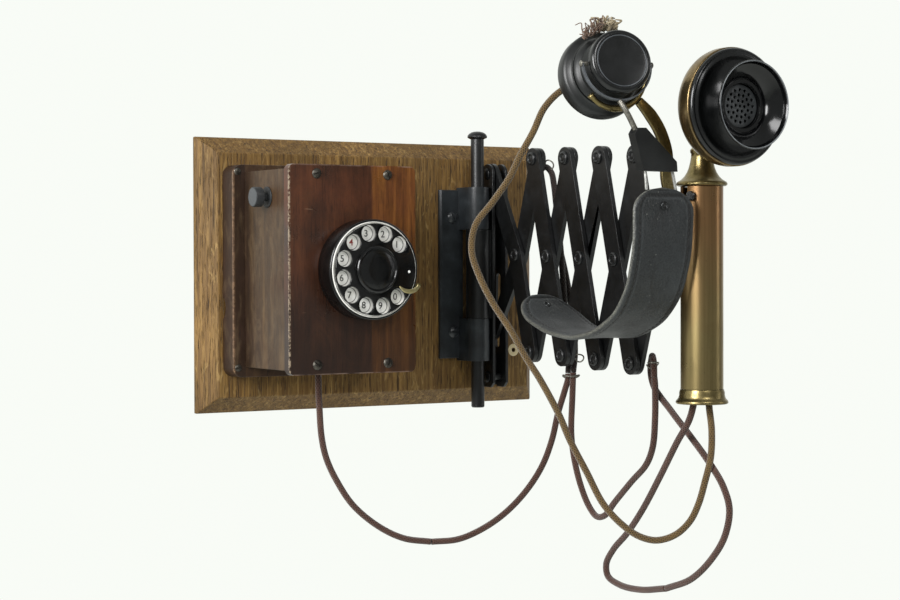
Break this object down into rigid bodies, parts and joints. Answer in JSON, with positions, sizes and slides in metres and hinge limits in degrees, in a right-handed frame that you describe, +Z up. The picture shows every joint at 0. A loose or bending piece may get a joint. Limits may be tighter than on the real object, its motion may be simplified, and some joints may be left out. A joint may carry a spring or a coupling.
{
  "type": "wall telephone",
  "caption": "Antique wall telephone: dial box on a bevelled board, folding scissor gate arm, brass mast with transmitter, switch hook and headset receiver.",
  "frame": {"origin": "centre of the backboard's back face, on the wall", "axes": "+X to the right seen from the room, +Y into the wall, +Z up; the arm reaches out along -Y"},
  "size_m": [0.324, 0.3773, 0.427],
  "materials": {
    "oak": "worn satin varnish",
    "box_wood": "worn dark varnish",
    "black_iron": "worn black enamel",
    "steel": "dull",
    "brass": "aged, satin",
    "hard_rubber": "polished",
    "white_enamel": "gloss",
    "button_black": "matt",
    "leather": "worn",
    "cord_brown": "braided",
    "cord_olive": "braided"
  },
  "bodies": {
    "wall_unit": {"backboard": "oak", "box_base": "box_wood", "box_body": "box_wood", "box_cover": "box_wood", "cover_screw_1": "steel", "cover_screw_2": "steel", "cover_screw_3": "steel", "cover_screw_4": "steel", "button_collar": "button_black", "terminal_block": "hard_rubber", "dial_cup": "hard_rubber", "number_plate": "white_enamel", "finger_stop": "brass", "hinge_leaf": "black_iron", "hinge_screw_upper": "black_iron", "hinge_screw_lower": "black_iron", "hinge_rod": "black_iron", "cord_wall_a": "cord_brown"},
    "button": {"call_button": "button_black"},
    "dial_wheel": {"finger_wheel": "hard_rubber", "card_holder": "hard_rubber"},
    "gate": {"gate_channel": "black_iron", "gate_pivot_bolt": "black_iron", "gate_foot_bolt": "black_iron"},
    "arm_a1": {"bar_a1": "black_iron"},
    "arm_b1": {"bar_b1": "black_iron"},
    "arm_a2": {"bar_a2": "black_iron", "cord_riser": "cord_brown"},
    "arm_b2": {"bar_b2": "black_iron"},
    "arm_a3": {"bar_a3": "black_iron"},
    "arm_b3": {"bar_b3": "black_iron"},
    "arm_a4": {"bar_a4": "black_iron", "cord_arm": "cord_brown"},
    "arm_b4": {"bar_b4": "black_iron"},
    "arm_a5": {"bar_a5": "black_iron"},
    "arm_b5": {"bar_b5": "black_iron"},
    "end_joint": {"end_bolt": "black_iron", "cord_mast_a": "cord_brown"},
    "mast": {"mast_bracket": "black_iron", "mast_tube": "brass", "mast_foot": "brass", "mast_collar": "brass", "hook_pin": "steel", "cord_mast_b": "cord_brown", "cord_receiver": "cord_olive"},
    "transmitter": {"transmitter_shell": "brass", "tilt_pin": "steel", "transmitter_face": "hard_rubber", "mouth_grille": "hard_rubber", "mouthpiece": "hard_rubber"},
    "hook": {"hook_lever": "brass"},
    "receiver": {"receiver_shell": "hard_rubber", "receiver_cap": "hard_rubber", "ear_cap": "hard_rubber", "band_stem": "steel"},
    "headband": {"band_block": "hard_rubber", "band_wires": "steel", "head_pad": "leather"},
    "cord_tie": {"cord_ring": "steel", "cord_wall_b": "cord_brown"}
  },
  "joints": [
    {"name": "gate_swing", "type": "hinge", "parent": "wall_unit", "child": "gate", "pos_m": [0.0865, -0.0365, 0], "axis": [0, 0, 1], "range_deg": [-24, 12], "deforming": ["cord_wall_a", "cord_wall_b"]},
    {"name": "gate_extend", "type": "hinge", "parent": "gate", "child": "arm_a1", "pos_m": [0.105, -0.035, 0.0855], "axis": [-1, 0, 0], "range_deg": [-6, 24], "deforming": ["cord_wall_b", "cord_riser", "cord_arm", "cord_mast_a"]},
    {"name": "cross_1", "type": "hinge", "parent": "arm_a1", "child": "arm_b1", "pos_m": [0.105, -0.0721, 0.01632], "axis": [-1, 0, 0], "range_deg": [-50, 14]},
    {"name": "top_2", "type": "hinge", "parent": "arm_b1", "child": "arm_a2", "pos_m": [0.105, -0.09792, 0.09594], "axis": [-1, 0, 0], "range_deg": [-14, 50]},
    {"name": "cross_2", "type": "hinge", "parent": "arm_a2", "child": "arm_b2", "pos_m": [0.105, -0.11869, 0.01485], "axis": [-1, 0, 0], "range_deg": [-50, 14]},
    {"name": "top_3", "type": "hinge", "parent": "arm_b2", "child": "arm_a3", "pos_m": [0.105, -0.14451, 0.09447], "axis": [-1, 0, 0], "range_deg": [-14, 50]},
    {"name": "cross_3", "type": "hinge", "parent": "arm_a3", "child": "arm_b3", "pos_m": [0.105, -0.16529, 0.01339], "axis": [-1, 0, 0], "range_deg": [-50, 14]},
    {"name": "top_4", "type": "hinge", "parent": "arm_b3", "child": "arm_a4", "pos_m": [0.105, -0.19111, 0.09301], "axis": [-1, 0, 0], "range_deg": [-14, 50]},
    {"name": "cross_4", "type": "hinge", "parent": "arm_a4", "child": "arm_b4", "pos_m": [0.105, -0.21188, 0.01192], "axis": [-1, 0, 0], "range_deg": [-50, 14]},
    {"name": "top_5", "type": "hinge", "parent": "arm_b4", "child": "arm_a5", "pos_m": [0.105, -0.23771, 0.09154], "axis": [-1, 0, 0], "range_deg": [-14, 50]},
    {"name": "bottom_5", "type": "hinge", "parent": "arm_a4", "child": "arm_b5", "pos_m": [0.105, -0.23266, -0.06916], "axis": [-1, 0, 0], "range_deg": [-50, 14]},
    {"name": "end_pivot", "type": "hinge", "parent": "arm_b5", "child": "end_joint", "pos_m": [0.105, -0.25848, 0.01046], "axis": [-1, 0, 0], "range_deg": [-7, 25]},
    {"name": "mast_tilt", "type": "hinge", "parent": "end_joint", "child": "mast", "pos_m": [0.105, -0.25848, 0.01046], "axis": [1, 0, 0], "range_deg": [-20, 20], "deforming": ["cord_mast_a", "cord_mast_b"]},
    {"name": "transmitter_tilt", "type": "hinge", "parent": "mast", "child": "transmitter", "pos_m": [0.105, -0.3168, 0.1045], "axis": [1, 0, 0], "range_deg": [-15, 15]},
    {"name": "dial_turn", "type": "hinge", "parent": "wall_unit", "child": "dial_wheel", "pos_m": [-0.0742, -0.1414, 0.0043], "axis": [0, 1, 0], "range_deg": [0, 330], "stiffness_Nm_per_rad": 0.01, "springref_deg": -34.38},
    {"name": "button_press", "type": "slide", "parent": "wall_unit", "child": "button", "axis": [1, 0, 0], "range_m": [0, 0.0035], "stiffness_N_per_m": 300, "springref_m": -0.001},
    {"name": "receiver_lift", "type": "slide", "parent": "mast", "child": "receiver", "axis": [0, 0, 1], "range_m": [0, 0.018], "deforming": ["cord_receiver"]},
    {"name": "hook_rise", "type": "hinge", "parent": "mast", "child": "hook", "pos_m": [0.0995, -0.3168, 0.055], "axis": [0, 1, 0], "range_deg": [0, 2.6]},
    {"name": "band_slide", "type": "slide", "parent": "receiver", "child": "headband", "axis": [-0.5071, 0.035, 0.8612], "range_m": [-0.005, 0.005]},
    {"name": "cord_tie", "type": "slide", "parent": "gate", "child": "cord_tie", "axis": [0, -0.9591, 0.2829], "range_m": [-0.031, 0.1227]}
  ],
  "couplings": [
    {"joint": "cross_1", "follows": "gate_extend", "ratio": -2},
    {"joint": "top_2", "follows": "gate_extend", "ratio": 2},
    {"joint": "cross_2", "follows": "gate_extend", "ratio": -2},
    {"joint": "top_3", "follows": "gate_extend", "ratio": 2},
    {"joint": "cross_3", "follows": "gate_extend", "ratio": -2},
    {"joint": "top_4", "follows": "gate_extend", "ratio": 2},
    {"joint": "cross_4", "follows": "gate_extend", "ratio": -2},
    {"joint": "top_5", "follows": "gate_extend", "ratio": 2},
    {"joint": "bottom_5", "follows": "gate_extend", "ratio": -2},
    {"joint": "end_pivot", "follows": "gate_extend", "ratio": 1},
    {"joint": "hook_rise", "follows": "receiver_lift", "rad_per_m": 2.521},
    {"joint": "cord_tie", "follows": "gate_extend", "m_per_rad": 0.2923}
  ]
}
